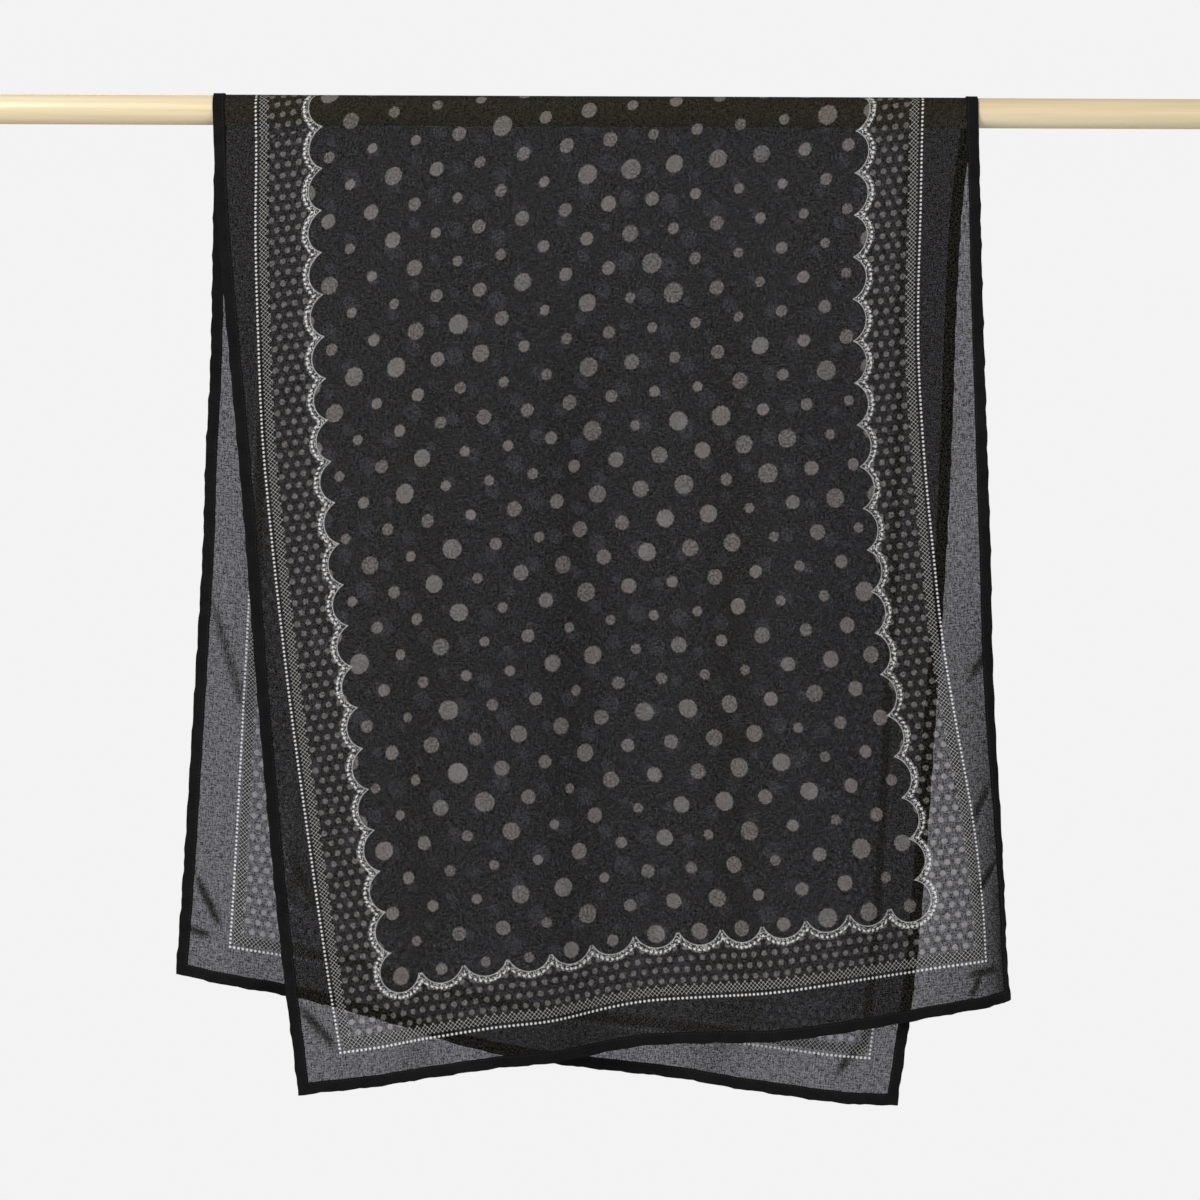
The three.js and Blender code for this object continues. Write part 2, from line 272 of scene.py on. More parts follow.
def normalAt(across, row):  # outward from the rod and the falls
    alongRow = (clothAt(across + 1.5, row) - clothAt(across - 1.5, row))[..., :3]
    upRow = (clothAt(across, row + 0.004) - clothAt(across, row - 0.004))[..., :3]
    normal = np.cross(alongRow, upRow)
    return normal / np.linalg.norm(normal, axis=-1, keepdims=True)


print("drape worked out")


# The print's place in the cloth, in mm: how wide the bare margin is beside the outer row of pin dots.
# Side margins go by the way along the cloth from its front end, and end margins by the way across.
# Their rows are thinned from places that a script measured in the photograph.
printLayout = {
    "width": 634,  # between the outer rows of pin dots
    "length": 1723,
    "leftMargin": [(0, 46), (200, 38), (400, 29), (600, 24), (750, 31), (900, 40), (1800, 50)],
    "rightMargin": [(0, 37), (200, 40), (400, 53), (600, 62), (780, 55), (900, 50), (1800, 34)],
    "frontEndMargin": [(0, 35), (250, 39), (550, 46), (720, 42)],
    "backEndMargin": [(0, 36), (720, 44)],
}


def printPlace(across, along):  # a point of the cloth in the print's own mm
    layout = printLayout
    left, right = lookUp(layout["leftMargin"], along), lookUp(layout["rightMargin"], along)
    front, back = lookUp(layout["frontEndMargin"], across), lookUp(layout["backEndMargin"], across)
    x = (across - left) / (drape["clothWidth"] - left - right) * layout["width"]
    y = (along - front) / (drape["clothLength"] - front - back) * layout["length"]
    return np.stack([x, y], -1) * mm


def finish(bm, name, material):  # turns a bmesh into a smooth piece that rides with the part
    mesh = bpy.data.meshes.new(name)
    bm.to_mesh(mesh)
    bm.free()
    mesh.shade_smooth()
    piece = bpy.data.objects.new(name, mesh)
    bpy.context.scene.collection.objects.link(piece)
    mesh.materials.append(material)
    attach(piece, "root")
    return piece


def clothGrid(columns, rows):  # a grid with a corner for each place across and each row of the cloth
    bm = bmesh.new()
    bmesh.ops.create_grid(bm, x_segments=columns - 1, y_segments=rows - 1, size=0.5)
    bm.verts.ensure_lookup_table()
    i = np.array([round((v.co.x + 0.5) * (columns - 1)) for v in bm.verts])
    j = np.array([round((v.co.y + 0.5) * (rows - 1)) for v in bm.verts])
    return bm, i, j


def setMap(bm, name, places):  # a UV map from one place for each vertex
    layer = bm.loops.layers.uv.new(name)
    for face in bm.faces:
        for loop in face.loops:
            loop[layer].uv = places[loop.vert.index]


# Materials

def linear(hexColour):
    channels = [int(hexColour[i : i + 2], 16) / 255 for i in (1, 3, 5)]
    return [c / 12.92 if c <= 0.04045 else ((c + 0.055) / 1.055) ** 2.4 for c in channels] + [1]


def addNode(tree, kind, *inputs, out=0, **settings):  # kind: a node's name and, if it has one, its operation
    kind, _, operation = kind.partition(" ")
    node = tree.nodes.new("ShaderNode" + kind)
    if operation:
        node.operation = operation
    for name, value in settings.items():
        setattr(node, name, value)
    named = inputs[0] if inputs and isinstance(inputs[0], dict) else dict(enumerate(inputs))
    for socket, value in named.items():
        if isinstance(value, bpy.types.NodeSocket):
            tree.links.new(value, node.inputs[socket])
        else:
            node.inputs[socket].default_value = value
    return node.outputs[out] if node.outputs else node


def newMaterial(name):
    material = bpy.data.materials.new(name)
    material.use_nodes = True
    material.node_tree.nodes.clear()
    return material, partial(addNode, material.node_tree)


# Counts of repeats: arches from the first to the last, and small dots across the print. The first
# arch's middle is in mm.
repeats = {"archesAcross": 12, "archesAlong": 41, "smallDots": 62, "firstAcross": 69.7, "firstAlong": 65}
endPitch = (printLayout["width"] - 2 * repeats["firstAcross"]) / repeats["archesAcross"]
sidePitch = (printLayout["length"] - 2 * repeats["firstAlong"]) / repeats["archesAlong"]

# The print's own sizes, in mm unless a note says otherwise
motif = {
    "soft": 0.42,  # half the width of a printed edge
    "pinPitchSide": 3.85,
    "pinPitchEnd": 4.15,
    "pinRadius": 0.28,  # this and the net's sizes are in pin pitches
    "netStart": 0.85,
    "netInner": 2.45,  # where its zigzag edge is nearest the pin dots
    "netLine": 0.038,
    "netStrength": 0.78,
    "smallPitch": printLayout["width"] / repeats["smallDots"],
    "smallRowPitch": 9.95,
    "smallRadius": 2.65,
    "smallFirstRow": 17,
    "archStartSide": repeats["firstAlong"],  # the middle of the first arch, measured from the end
    "archStartEnd": repeats["firstAcross"],
    "archPitchSide": sidePitch,
    "archPitchEnd": endPitch,
    "archShift": 1.9,  # by which the end borders lie nearer their edge
    "archCentre": 71.5,
    "archRadius": 21.3,
    "archTips": 63.2,
    "innerLine": 0.3,
    "cornerAt": (69, 66),
    "cornerEnds": (89.5, 84.2),
    "cornerReach": 70,
    "pearlsInArch": 9,
    "pearlsInCircle": 36,
    "pearlRadius": 1.2,
    "pearlDepth": 45.8,
    "pearlRise": 0.0225,
    "cornerPearlStep": 4.2,
    "threadFromPearls": 2,  # the broken thread outside them
    "threadWidth": 0.3,
    "smallStrength": 0.78,  # of the small dots' print
    "fieldStart": (repeats["firstAcross"], 61.5),
    "fieldPitch": endPitch,
    "fieldRowPitch": 29.6,
    "fieldSmallest": 4.5,
    "fieldLargest": 9.2,
}


def below(limit, soft=motif["soft"]):  # values for a mask that is 1 below the limit and 0 above it
    return limit - soft, limit + soft, 1.0, 0.0


def printNodes(add):  # masks of the white lines and pearls, the taupe dots and the net's black ground
    m = motif
    place = add("SeparateXYZ", add("UVMap", uv_map="print")).node
    x = add("Math MULTIPLY", place.outputs["X"], 1 / mm)
    y = add("Math MULTIPLY", place.outputs["Y"], 1 / mm)
    halfWidth, halfLength = printLayout["width"] / 2, printLayout["length"] / 2
    fromSide = add("Math SUBTRACT", halfWidth, add("Math ABSOLUTE", add("Math SUBTRACT", x, halfWidth)))
    fromEnd = add("Math SUBTRACT", halfLength, add("Math ABSOLUTE", add("Math SUBTRACT", y, halfLength)))

    # Pin dots, and inside them a net of slanting lines, every second one stronger, with white knots
    onSide = add("Math LESS_THAN", fromSide, fromEnd)
    sidePins, endPins = 1 / m["pinPitchSide"], 1 / m["pinPitchEnd"]
    scale = add("Math MULTIPLY_ADD", onSide, sidePins - endPins, endPins)
    pinDepth = add("Math MULTIPLY", add("Math MINIMUM", fromSide, fromEnd), scale)
    pinAlong = add("Math MULTIPLY", add("Math MAXIMUM", fromSide, fromEnd), scale)
    fromPin = add("CombineXYZ", add("Math PINGPONG", pinAlong, 0.5), pinDepth)
    fromPin = add("VectorMath LENGTH", fromPin, out="Value")
    pins = add("MapRange", fromPin, *below(m["pinRadius"], 0.08))
    net, knots = 0.0, 1.0
    for operation in ("ADD", "SUBTRACT"):
        way = add("Math " + operation, pinAlong, pinDepth)
        line = add("MapRange", add("Math PINGPONG", way, 0.5), *below(m["netLine"], 0.09))
        strength = add("Math MULTIPLY_ADD", add("Math PINGPONG", way, 1.0), -0.3, 1.0)
        net = add("Math MULTIPLY_ADD", line, strength, net)
        knots = add("Math MULTIPLY", line, knots)
    zigzag = add("Math SUBTRACT", pinDepth, add("Math PINGPONG", pinAlong, 1.0))
    netArea = add("MapRange", zigzag, *below(m["netInner"], 0.12))
    netArea = add("Math MULTIPLY", netArea, add("Math GREATER_THAN", pinDepth, m["netStart"]))
    net = add("Math MULTIPLY_ADD", net, m["netStrength"], knots)
    net = add("Math MULTIPLY", net, netArea)

    # Arches along the sides, along the ends, and round the corners
    archDepth = add("Math MINIMUM", fromSide, add("Math ADD", fromEnd, m["archShift"]))
    start = add("Math MULTIPLY_ADD", onSide, m["archStartSide"] - m["archStartEnd"], m["archStartEnd"])
    pitch = add("Math MULTIPLY_ADD", onSide, m["archPitchSide"] - m["archPitchEnd"], m["archPitchEnd"])
    along = add("Math SUBTRACT", add("Math MAXIMUM", fromSide, fromEnd), start)
    share = add("Math WRAP", add("Math DIVIDE", along, pitch), 0.5, -0.5)
    across = add("Math MULTIPLY", share, pitch)
    toSide = add("Math SUBTRACT", m["cornerAt"][0], fromSide)
    toEnd = add("Math SUBTRACT", m["cornerAt"][1], fromEnd)
    inCorner = add("Math MULTIPLY", add("Math LESS_THAN", fromSide, m["cornerEnds"][0]),
                   add("Math LESS_THAN", fromEnd, m["cornerEnds"][1]))
    turned = add("VectorMath LENGTH", add("CombineXYZ", toSide, toEnd), out="Value")
    turned = add("Math SUBTRACT", m["cornerReach"], turned)
    inward = add("Mix", {0: inCorner, 2: archDepth, 3: turned}, data_type="FLOAT")
    across = add("Math MULTIPLY", across, add("Math SUBTRACT", 1.0, inCorner))
    fromCentre = add("CombineXYZ", across, add("Math SUBTRACT", m["archCentre"], inward))
    fromCentre = add("VectorMath LENGTH", fromCentre, out="Value")
    fromLine = add("Math SUBTRACT", fromCentre, m["archRadius"])
    border = add("Math LESS_THAN", archDepth, m["archTips"])
    innerLine = add("MapRange", add("Math ABSOLUTE", fromLine), *below(m["innerLine"]))

    # Pearls along the arches, which lie deeper towards each cusp, and round the corners
    pearlCurve = add("Math MULTIPLY", across, across)
    pearlCurve = add("Math MULTIPLY_ADD", pearlCurve, m["pearlRise"], m["pearlDepth"])
    pearlStep = add("Math MULTIPLY", share, float(m["pearlsInArch"]))
    pearlStep = add("Math SUBTRACT", add("Math FRACT", add("Math ADD", pearlStep, 20.0)), 0.5)
    sideways = add("Math MULTIPLY", pearlStep, add("Math DIVIDE", pitch, float(m["pearlsInArch"])))
    turnStep = add("Math MULTIPLY", add("Math ARCTAN2", toEnd, toSide), m["pearlsInCircle"] / math.tau)
    turnStep = add("Math MULTIPLY", add("Math WRAP", turnStep, 0.5, -0.5), m["cornerPearlStep"])
    sideways = add("Mix", {0: inCorner, 2: sideways, 3: turnStep}, data_type="FLOAT")
    fromCurve = add("Math SUBTRACT", inward, pearlCurve)
    fromPearl = add("VectorMath LENGTH", add("CombineXYZ", sideways, fromCurve), out="Value")
    pearls = add("MapRange", fromPearl, *below(m["pearlRadius"]))

    # Grey specks between the pearls and the line, and a broken thread outside the pearls
    speck = add("VectorMath SNAP", add("UVMap", uv_map="print"), (mm, mm, mm))
    speck = add("TexWhiteNoise", {"Vector": speck}, noise_dimensions="2D")
    filled = add("Math GREATER_THAN", fromCurve, -m["pearlRadius"])
    filled = add("Math MULTIPLY", add("Math GREATER_THAN", fromLine, 0.0), filled)
    specks = add("MapRange", speck, 0.55, 1.0, 0.03, 0.9)
    filling = add("Math MULTIPLY", filled, specks)
    thread = add("Math ABSOLUTE", add("Math ADD", fromCurve, m["threadFromPearls"]))
    thread = add("MapRange", thread, *below(m["threadWidth"]))
    thread = add("Math MULTIPLY", thread, specks)
    chain = add("Math MAXIMUM", add("Math MAXIMUM", pearls, add("Math MULTIPLY", innerLine, 0.75)),
                add("Math MAXIMUM", filling, thread))
    chain = add("Math MULTIPLY", chain, border)

    # Small dots between the net and the arches, in staggered rows
    fromRow = add("Math SUBTRACT", fromEnd, m["smallFirstRow"])
    row = add("Math ROUND", add("Math DIVIDE", fromRow, m["smallRowPitch"]))
    column = add("Math MULTIPLY_ADD", add("Math PINGPONG", row, 1.0), m["smallPitch"] / 2, fromSide)
    column = add("Math PINGPONG", column, m["smallPitch"] / 2)
    offRow = add("Math WRAP", fromRow, m["smallRowPitch"] / 2, -m["smallRowPitch"] / 2)
    small = add("VectorMath LENGTH", add("CombineXYZ", column, offRow), out="Value")
    small = add("MapRange", small, *below(m["smallRadius"], 0.5))
    smallArea = add("Math MULTIPLY", border, add("Math LESS_THAN", fromCurve, -2.3))
    smallArea = add("Math MULTIPLY", smallArea, add("Math GREATER_THAN", zigzag, m["netInner"]))
    small = add("Math MULTIPLY", add("Math MULTIPLY", small, smallArea), m["smallStrength"])

    # Field dots of uneven size in staggered rows, inside the arches
    fieldY = add("Math SUBTRACT", y, m["fieldStart"][1])
    row = add("Math ROUND", add("Math DIVIDE", fieldY, m["fieldRowPitch"]))
    fieldX = add("Math MULTIPLY_ADD", add("Math PINGPONG", row, 1.0), -m["fieldPitch"] / 2, x)
    fieldX = add("Math SUBTRACT", fieldX, m["fieldStart"][0])
    offX = add("Math WRAP", fieldX, m["fieldPitch"] / 2, -m["fieldPitch"] / 2)
    offY = add("Math WRAP", fieldY, m["fieldRowPitch"] / 2, -m["fieldRowPitch"] / 2)
    dot = add("CombineXYZ", add("Math ROUND", add("Math SUBTRACT", fieldX, offX)), row)
    chance = add("Math POWER", add("TexWhiteNoise", {"Vector": dot}, noise_dimensions="2D"), 1.6)
    radius = add("MapRange", chance, 0.0, 1.0, m["fieldSmallest"], m["fieldLargest"])
    field = add("VectorMath LENGTH", add("CombineXYZ", offX, offY), out="Value")
    field = add("MapRange", add("Math SUBTRACT", field, radius), *below(0.0, 0.6))
    inside = add("Math GREATER_THAN", archDepth, m["archTips"] + 0.6)
    inside = add("Math MAXIMUM", add("Math LESS_THAN", fromLine, -0.6), inside)
    strength = add("VectorMath ADD", dot, (0.5, 0.5, 0.0))
    strength = add("TexWhiteNoise", {"Vector": strength}, noise_dimensions="2D")
    strength = add("Math MULTIPLY_ADD", strength, 0.35, 0.65)
    field = add("Math MULTIPLY", field, add("Math MULTIPLY", inside, strength))

    white = add("Math MAXIMUM", pins, add("Math MAXIMUM", net, chain))
    return white, add("Math MAXIMUM", small, field), netArea


# Cotton and modal voile, woven sheer in black and pigment printed: it shows what is behind it
voileLook = {
    "ground": "#191812",
    "taupe": "#7d7872",
    "white": "#f4f3f0",
    "through": "#faf9ff",  # tint of the light that comes through
    "groundClear": 0.123,  # share of light that one layer lets through
    "netClear": 0.025,
    "taupeClear": 0.25,
    "whiteClear": 0.12,
    "uneven": (0.1, 2.2),  # how much of that share the threads and the gaps between them let through
    "groundTones": (0, 2.6),  # how much darker and lighter the threads are than the ground
    "taupeTones": (0.8, 1.2),
    "grain": 2,  # mm
    "threadPitch": 1.35,  # mm, drawn coarser than the real 0.4 so that it shows
    "slubLength": 6.5,
    "roughness": 0.9,
}


def makeVoile():
    look = voileLook
    material, add = newMaterial("sheerPrintedVoile")
    white, taupe, netArea = printNodes(add)
    cloth = add("UVMap", uv_map="cloth")
    fine, long = 1 / (look["threadPitch"] * mm), 1 / (look["slubLength"] * mm)
    warp = add("Mapping", {0: cloth, "Scale": (fine, long, 1)})
    warp = add("TexNoise", {"Vector": warp, "Scale": 1.0, "Detail": 2.0, "Roughness": 0.7},
               noise_dimensions="2D")
    weft = add("Mapping", {0: cloth, "Scale": (long, fine, 1)})
    weft = add("TexNoise", {"Vector": weft, "Scale": 1.0, "Detail": 2.0, "Roughness": 0.7},
               noise_dimensions="2D")
    speck = add("Mapping", {0: cloth, "Scale": (fine, fine, 1)})
    speck = add("TexNoise", {"Vector": speck, "Scale": 1.0, "Detail": 1.0}, noise_dimensions="2D")
    threads = add("Math ADD", add("Math ADD", warp, weft), speck)
    uneven = add("MapRange", threads, 1.15, 1.85, *look["uneven"])

    groundClear = add("Mix", {0: netArea, 2: look["groundClear"], 3: look["netClear"]}, data_type="FLOAT")
    clear = add("Math MULTIPLY", uneven, groundClear)
    clear = add("Mix", {0: taupe, 2: clear, 3: look["taupeClear"]}, data_type="FLOAT")
    clear = add("Mix", {0: white, 2: clear, 3: look["whiteClear"]}, data_type="FLOAT")
    # The density map carries painted fold and crease shade: it makes the cloth less see-through, so darker,
    # where it turns from the front and along creases
    density = add("SeparateXYZ", add("UVMap", uv_map="density"))
    clear = add("Math POWER", clear, add("Math MULTIPLY", density, 0.5))  # half in each face of the shell

    low, high = (add("Mix", {0: taupe, 2: look["groundTones"][i], 3: look["taupeTones"][i]},
                     data_type="FLOAT") for i in (0, 1))
    grain = add("TexNoise", {"Vector": cloth, "Scale": 1 / (look["grain"] * mm), "Detail": 1.0},
                noise_dimensions="2D")
    tone = add("MapRange", grain, 0.36, 0.68, low, high)
    colour = add("Mix", {0: taupe, 6: linear(look["ground"]), 7: linear(look["taupe"])}, out=2,
                 data_type="RGBA")
    colour = add("Mix", {0: 1.0, 6: colour, 7: tone}, out=2, data_type="RGBA", blend_type="MULTIPLY")
    colour = add("Mix", {0: white, 6: colour, 7: linear(look["white"])}, out=2, data_type="RGBA")
    bump = add("Bump", {"Strength": 0.35, "Distance": 0.0003, "Height": threads})
    thread = add("BsdfPrincipled", {
        "Base Color": colour, "Roughness": look["roughness"], "Normal": bump, "Specular IOR Level": 0.15,
    })
    gap = add("BsdfTransparent", linear(look["through"]))
    seen = add("MixShader", clear, thread, gap)

    # A shadow needs no print: the plain cloth's share of clear serves
    plain = add("Math POWER", look["groundClear"], add("Math MULTIPLY", density, 0.5))
    shade = add("CombineColor", plain, plain, plain)
    shadow = add("BsdfTransparent", shade)
    add("OutputMaterial", add("MixShader", add("LightPath", out="Is Shadow Ray"), seen, shadow))
    return material


voileMaterial = makeVoile()


# Turned voile hem, three layers deep: opaque, matt, with the weave just showing
hemLook = {"dark": "#0a0a0a", "pale": "#171718", "roughness": 0.9}


def makeHemCloth():
    look = hemLook
    material, add = newMaterial("turnedVoileHem")
    place = add("TexCoord", out="Object")
    threads = add("TexNoise", {"Vector": place, "Scale": 700.0, "Detail": 3.0})
    streaks = add("Mapping", {0: place, "Scale": (60, 60, 60)})
    streaks = add("TexNoise", {"Vector": streaks, "Scale": 1.0, "Detail": 2.0})
    both = add("Math ADD", threads, streaks)
    share = add("MapRange", both, 0.7, 1.35, 0.0, 1.0)
    colour = add("Mix", {0: share, 6: linear(look["dark"]), 7: linear(look["pale"])}, out=2, data_type="RGBA")
    bump = add("Bump", {"Strength": 0.4, "Distance": 0.0003, "Height": threads})
    shader = add("BsdfPrincipled", {
        "Base Color": colour, "Roughness": look["roughness"], "Normal": bump, "Specular IOR Level": 0.15,
    })
    add("OutputMaterial", shader)
    return material


hemMaterial = makeHemCloth()


# Spun polyester sewing thread: a soft gloss on a black a little lighter than the hem
threadLook = {"dark": "#151517", "pale": "#2c2c30", "roughness": 0.5}


def makeThread():
    look = threadLook
    material, add = newMaterial("blackSewingThread")
    place = add("TexCoord", out="Object")
    twist = add("TexNoise", {"Vector": place, "Scale": 2200.0, "Detail": 1.0})
    colour = add("Mix", {0: twist, 6: linear(look["dark"]), 7: linear(look["pale"])}, out=2, data_type="RGBA")
    shader = add("BsdfPrincipled", {"Base Color": colour, "Roughness": look["roughness"]})
    add("OutputMaterial", shader)
    return material


threadMaterial = makeThread()


# Turned pine under a clear satin lacquer: faint long grain, soft gloss
woodLook = {
    "pale": "#f5e5c1",
    "grain": "#e5cd9c",
    "grainWidth": 2.5,  # mm
    "grainLength": 160,
    "roughness": 0.38,
}


def makeWood():
    look = woodLook
    material, add = newMaterial("lacqueredPine")
    place = add("TexCoord", out="Object")
    fine, long = 1 / (look["grainWidth"] * mm), 1 / (look["grainLength"] * mm)
    grain = add("Mapping", {0: place, "Scale": (long, fine, fine)})
    grain = add("TexNoise", {"Vector": grain, "Scale": 1.0, "Detail": 4.0, "Distortion": 0.6})
    bands = add("Mapping", {0: place, "Scale": (2.2, 60, 60)})
    bands = add("TexNoise", {"Vector": bands, "Scale": 1.0, "Detail": 2.0})
    mixed = add("Math MULTIPLY_ADD", grain, 0.6, bands)
    share = add("MapRange", mixed, 0.6, 1.05, 0.0, 1.0)
    colour = add("Mix", {0: share, 6: linear(look["pale"]), 7: linear(look["grain"])}, out=2,
                 data_type="RGBA")
    rough = add("MapRange", grain, 0.3, 0.7, look["roughness"] - 0.06, look["roughness"] + 0.08)
    bump = add("Bump", {"Strength": 0.15, "Distance": 0.0004, "Height": grain})
    shader = add("BsdfPrincipled", {
        "Base Color": colour, "Roughness": rough, "Normal": bump, "Coat Weight": 0.25, "Coat Roughness": 0.2,
    })
    add("OutputMaterial", shader)
    return material


woodMaterial = makeWood()
print("materials made")


# The scarf's voile, one sheet from end hem to end hem
voileSizes = {"wall": 0.35, "columns": 126, "fallRows": 149, "rodRows": 13}
hemSizes = {"width": 11, "wall": 1.6, "bevel": 0.45, "columns": 5, "lift": 0.65}

fallPlaces = np.interp(np.linspace(0, 1, voileSizes["fallRows"]), (0, 0.36, 1), (0, 0.17, 1))
rowPlaces = np.concatenate([
    fallPlaces, np.linspace(1, 2, voileSizes["rodRows"])[1:-1], (3 - fallPlaces)[::-1],
])
inset = 3  # mm of the sheet's edge inside the hems' fold
acrossPlaces = np.interp(np.linspace(0, 1, voileSizes["columns"]), (0, 0.18, 0.82, 1),
                         (inset, 70, drape["clothWidth"] - 70, drape["clothWidth"] - inset))


def makeVoileSheet():
    bm, i, j = clothGrid(len(acrossPlaces), len(rowPlaces))
    across, row = acrossPlaces[i], rowPlaces[j]
    row = np.clip(row, 0.003, 2.997)
    at = clothAt(across, row)
    for vertex, point in zip(bm.verts, at[:, :3]):
        vertex.co = Vector(point) * mm
    along = at[:, 3]
    setMap(bm, "cloth", np.stack([across, along], -1) * mm)
    setMap(bm, "print", printPlace(across, along))
    # density map, including painted fold and crease shade
    setMap(bm, "density", np.stack([at[:, 4], at[:, 4] * 0], -1))
    piece = finish(bm, "voile_sheet", voileMaterial)
    wall = piece.modifiers.new("wall", "SOLIDIFY")
    wall.thickness = voileSizes["wall"] * mm
    wall.offset = 0
    return piece


voileSheet = makeVoileSheet()
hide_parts("front_fall", "over_rod", "back_fall")
print("voile sheet draped")


def hemPoints(across, row):  # the hem's middle, lifted clear of the rod where it crosses it
    lift = hemSizes["lift"] * (1 - smoothStep(np.abs(row - 1.5), 0.5, 0.56))
    return clothAt(across, row)[..., :3] + normalAt(across, row) * lift[..., None]


def makeHem(name, across, row, nodes):
    bm, i, j = clothGrid(across.shape[1], across.shape[0])
    points = hemPoints(across, row)[j, i]
    for vertex, point in zip(bm.verts, points):
        vertex.co = Vector(point) * mm
    piece = finish(bm, name, hemMaterial)
    wall = piece.modifiers.new("wall", "SOLIDIFY")
    wall.thickness = hemSizes["wall"] * mm
    wall.offset = 0
    edge = piece.modifiers.new("edge", "BEVEL")
    edge.width = hemSizes["bevel"] * mm
    edge.segments = 2
    edge.angle_limit = math.radians(50)
    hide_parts(*nodes)
    return piece


stitch = {"pitch": 3.2, "length": 2.3, "width": 0.5, "inset": 1.6, "above": 0.05}


def stitchLine(bm, across, row):  # a row of stitches on both faces of a hem
    path = clothAt(across, row)[:, :3]
    way = np.append(0, np.cumsum(np.linalg.norm(np.diff(path, axis=0), axis=1)))
    count = int(way[-1] / stitch["pitch"])
    places = (np.arange(count) + 0.5) * stitch["pitch"]
    stitchAcross, stitchRow = np.interp(places, way, across), np.interp(places, way, row)
    points, normals = hemPoints(stitchAcross, stitchRow), normalAt(stitchAcross, stitchRow)
    tangents = np.gradient(points, axis=0)
    tangents /= np.linalg.norm(tangents, axis=1, keepdims=True)
    size = Matrix.Diagonal((stitch["length"] / 2, stitch["width"] / 2, stitch["width"] / 2, 1))
    for point, normal, tangent in zip(points, normals, tangents):
        for face in (1, -1):
            z = Vector(normal) * face
            x = Vector(tangent)
            turn = Matrix((x, z.cross(x), z)).transposed().to_4x4()
            centre = Vector(point) + z * (hemSizes["wall"] / 2 + stitch["above"])
            matrix = Matrix.Scale(mm, 4) @ Matrix.Translation(centre) @ turn @ size
            bmesh.ops.create_icosphere(bm, subdivisions=1, radius=1, matrix=matrix)


width, hemWidth = drape["clothWidth"], hemSizes["width"]
sideHems = {"left": (0, hemWidth), "right": (width - hemWidth, width)}
for side, edges in sideHems.items():
    columns = np.linspace(*edges, hemSizes["columns"])
    across, row = np.meshgrid(columns, rowPlaces)
    makeHem(f"side_hem_{side}", across, row, [f"{part}_hem_{side}" for part in ("front", "over_rod", "back")])
    bm = bmesh.new()
    line = hemWidth - stitch["inset"] if side == "left" else width - hemWidth + stitch["inset"]
    rows = np.linspace(0.01, 2.99, 900)
    stitchLine(bm, np.full_like(rows, line), rows)
    finish(bm, f"side_stitches_{side}", threadMaterial)

endColumns = np.linspace(hemWidth - 0.6, width - hemWidth + 0.6, 128)
for end, fall in (("front", frontFall), ("back", backFall)):
    heights = -lookUp(fall["end"], endColumns / width)
    share = np.linspace(0, 1, hemSizes["columns"])[:, None] * hemWidth / heights
    row = share if end == "front" else (3 - share)[::-1]
    makeHem(f"end_hem_{end}", np.tile(endColumns, (hemSizes["columns"], 1)), row, [f"{end}_hem_end"])
    bm = bmesh.new()
    columns = np.linspace(hemWidth, width - hemWidth, 500)
    share = (hemWidth - stitch["inset"]) / -lookUp(fall["end"], columns / width)
    stitchLine(bm, columns, share if end == "front" else 3 - share)
    finish(bm, f"end_stitches_{end}", threadMaterial)
print("hems and stitches sewn")


# The rod, turned from one length, its end edges rounded
rodSizes = {"length": 1200, "diameter": 28, "endRounding": 1.5, "facets": 96}


def makeRod():
    bm = bmesh.new()
    radius = rodSizes["diameter"] / 2 * mm
    turn = Matrix.Rotation(math.radians(90), 4, "Y")
    bmesh.ops.create_cone(bm, cap_ends=True, segments=rodSizes["facets"], radius1=radius, radius2=radius,
                          depth=rodSizes["length"] * mm, matrix=turn)
    atEnds = [e for e in bm.edges
              if abs(abs(e.verts[0].co.x + e.verts[1].co.x) - rodSizes["length"] * mm) < 1e-6]
    rims = [e for e in atEnds if len([f for f in e.link_faces if len(f.verts) > 4]) == 1]
    bmesh.ops.bevel(bm, geom=rims, offset=rodSizes["endRounding"] * mm, affect="EDGES", segments=4,
                    profile=0.5, material=-1)
    long = [e for e in bm.edges if e.calc_length() > 0.5]
    bmesh.ops.subdivide_edges(bm, edges=long, cuts=11)
    return finish(bm, "rod_turned", woodMaterial)


rod = makeRod()
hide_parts("rod")
print("rod turned")


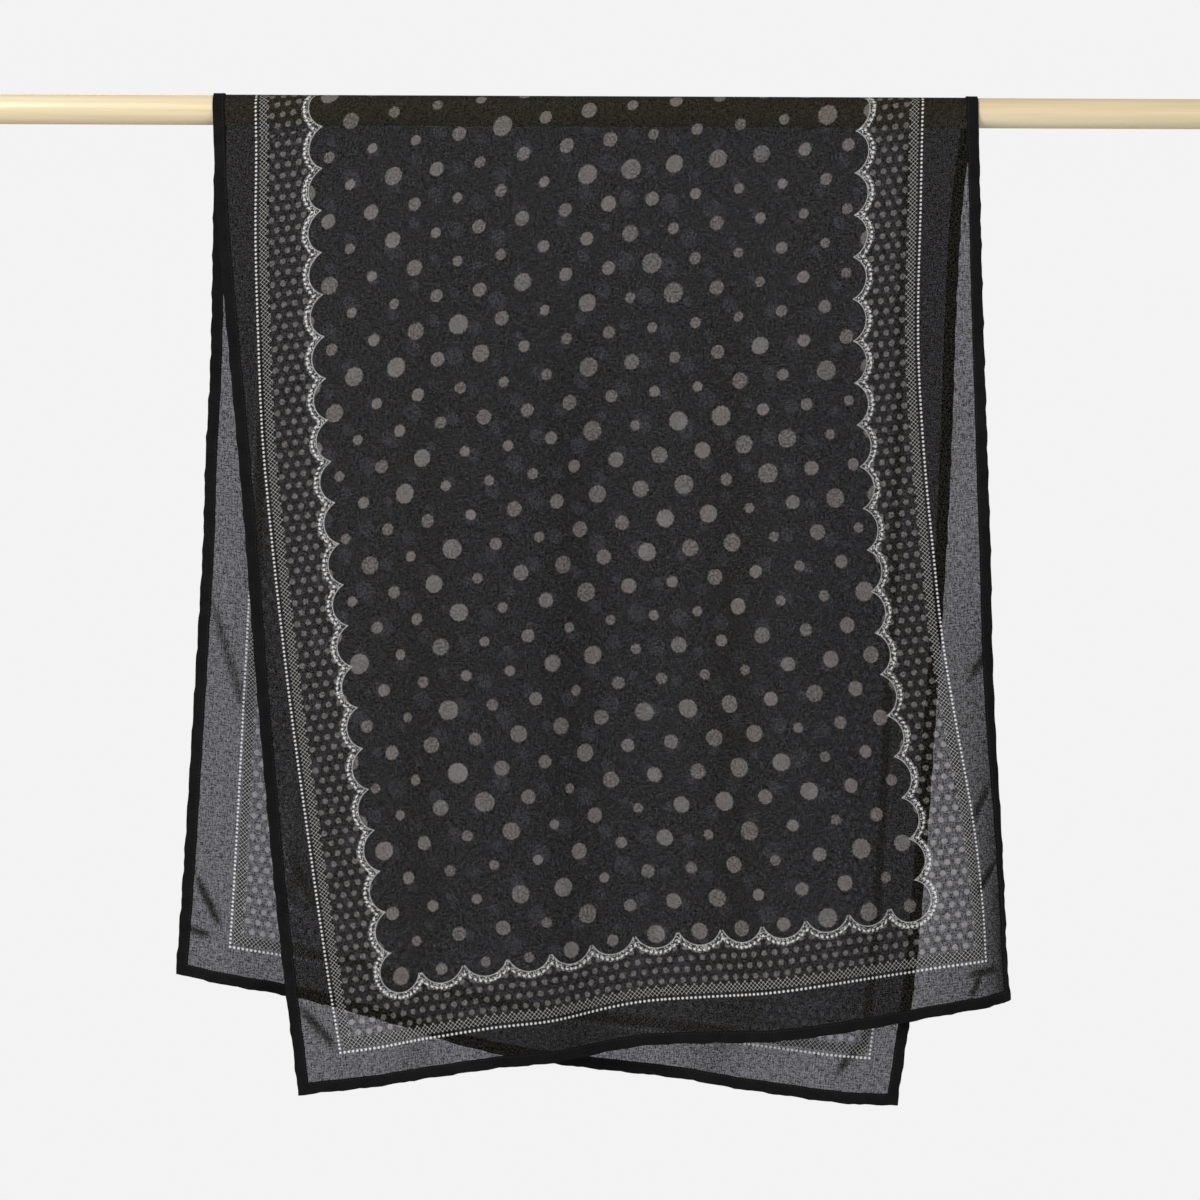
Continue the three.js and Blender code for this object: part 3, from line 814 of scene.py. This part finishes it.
# Stage: a pale floor well below, a white background, soft light from the upper left and in front
floorBm = bmesh.new()
floorPlace = Matrix.Translation((0, 0.1, -1.6))
bmesh.ops.create_circle(floorBm, cap_ends=True, segments=96, radius=1.5, matrix=floorPlace)
floorMesh = bpy.data.meshes.new("floor")
floorBm.to_mesh(floorMesh)
floorBm.free()
floorPiece = bpy.data.objects.new("floor", floorMesh)
bpy.context.scene.collection.objects.link(floorPiece)
floorMaterial, add = newMaterial("paleStudioFloor")
shader = add("BsdfPrincipled", {"Base Color": linear("#f0f0f0"), "Roughness": 0.8})
add("OutputMaterial", shader)
floorMesh.materials.append(floorMaterial)

studio = {
    "background": "#f3f3f3",  # what shows behind the scarf
    "roomLight": 0.4,  # the same light from all round
    "lamps": [  # name, place, width, height, watts
        ("key", (-1.6, -2.5, 0.9), 1.4, 1.4, 60),
        ("fill", (1.9, -2.6, 0.2), 1.6, 1.6, 14),
        ("back", (-0.6, 2.4, 0.8), 1.8, 1.4, 14),
    ],
}


def makeWorld():
    world = bpy.data.worlds.new("studio")
    bpy.context.scene.world = world
    world.use_nodes = True
    world.node_tree.nodes.clear()
    add = partial(addNode, world.node_tree)
    room = add("Background", {"Color": (1, 1, 1, 1), "Strength": studio["roomLight"]})
    seen = add("Background", {"Color": linear(studio["background"]), "Strength": 1.0})
    direct = add("LightPath", out="Is Camera Ray")
    add("OutputWorld", add("MixShader", direct, room, seen))


makeWorld()
for name, place, wide, high, watts in studio["lamps"]:
    light = bpy.data.lights.new(name, "AREA")
    light.shape, light.size, light.size_y, light.energy = "RECTANGLE", wide, high, watts
    lamp = bpy.data.objects.new(name, light)
    bpy.context.scene.collection.objects.link(lamp)
    lamp.location = place
    lamp.rotation_euler = (Vector((0, 0, -0.45)) - Vector(place)).to_track_quat("-Z", "Y").to_euler()

camera = bpy.data.objects.new("camera", bpy.data.cameras.new("camera"))
bpy.context.scene.collection.objects.link(camera)
camera.data.lens = 100
camera.data.sensor_width = 36
camera.location = (0.002, -3.133, -0.459)
camera.rotation_euler = (math.radians(90), math.radians(-0.246), 0)
bpy.context.scene.camera = camera
bpy.context.scene.view_settings.view_transform = "Standard"
bpy.context.scene.cycles.transparent_max_bounces = 16
print("stage set")
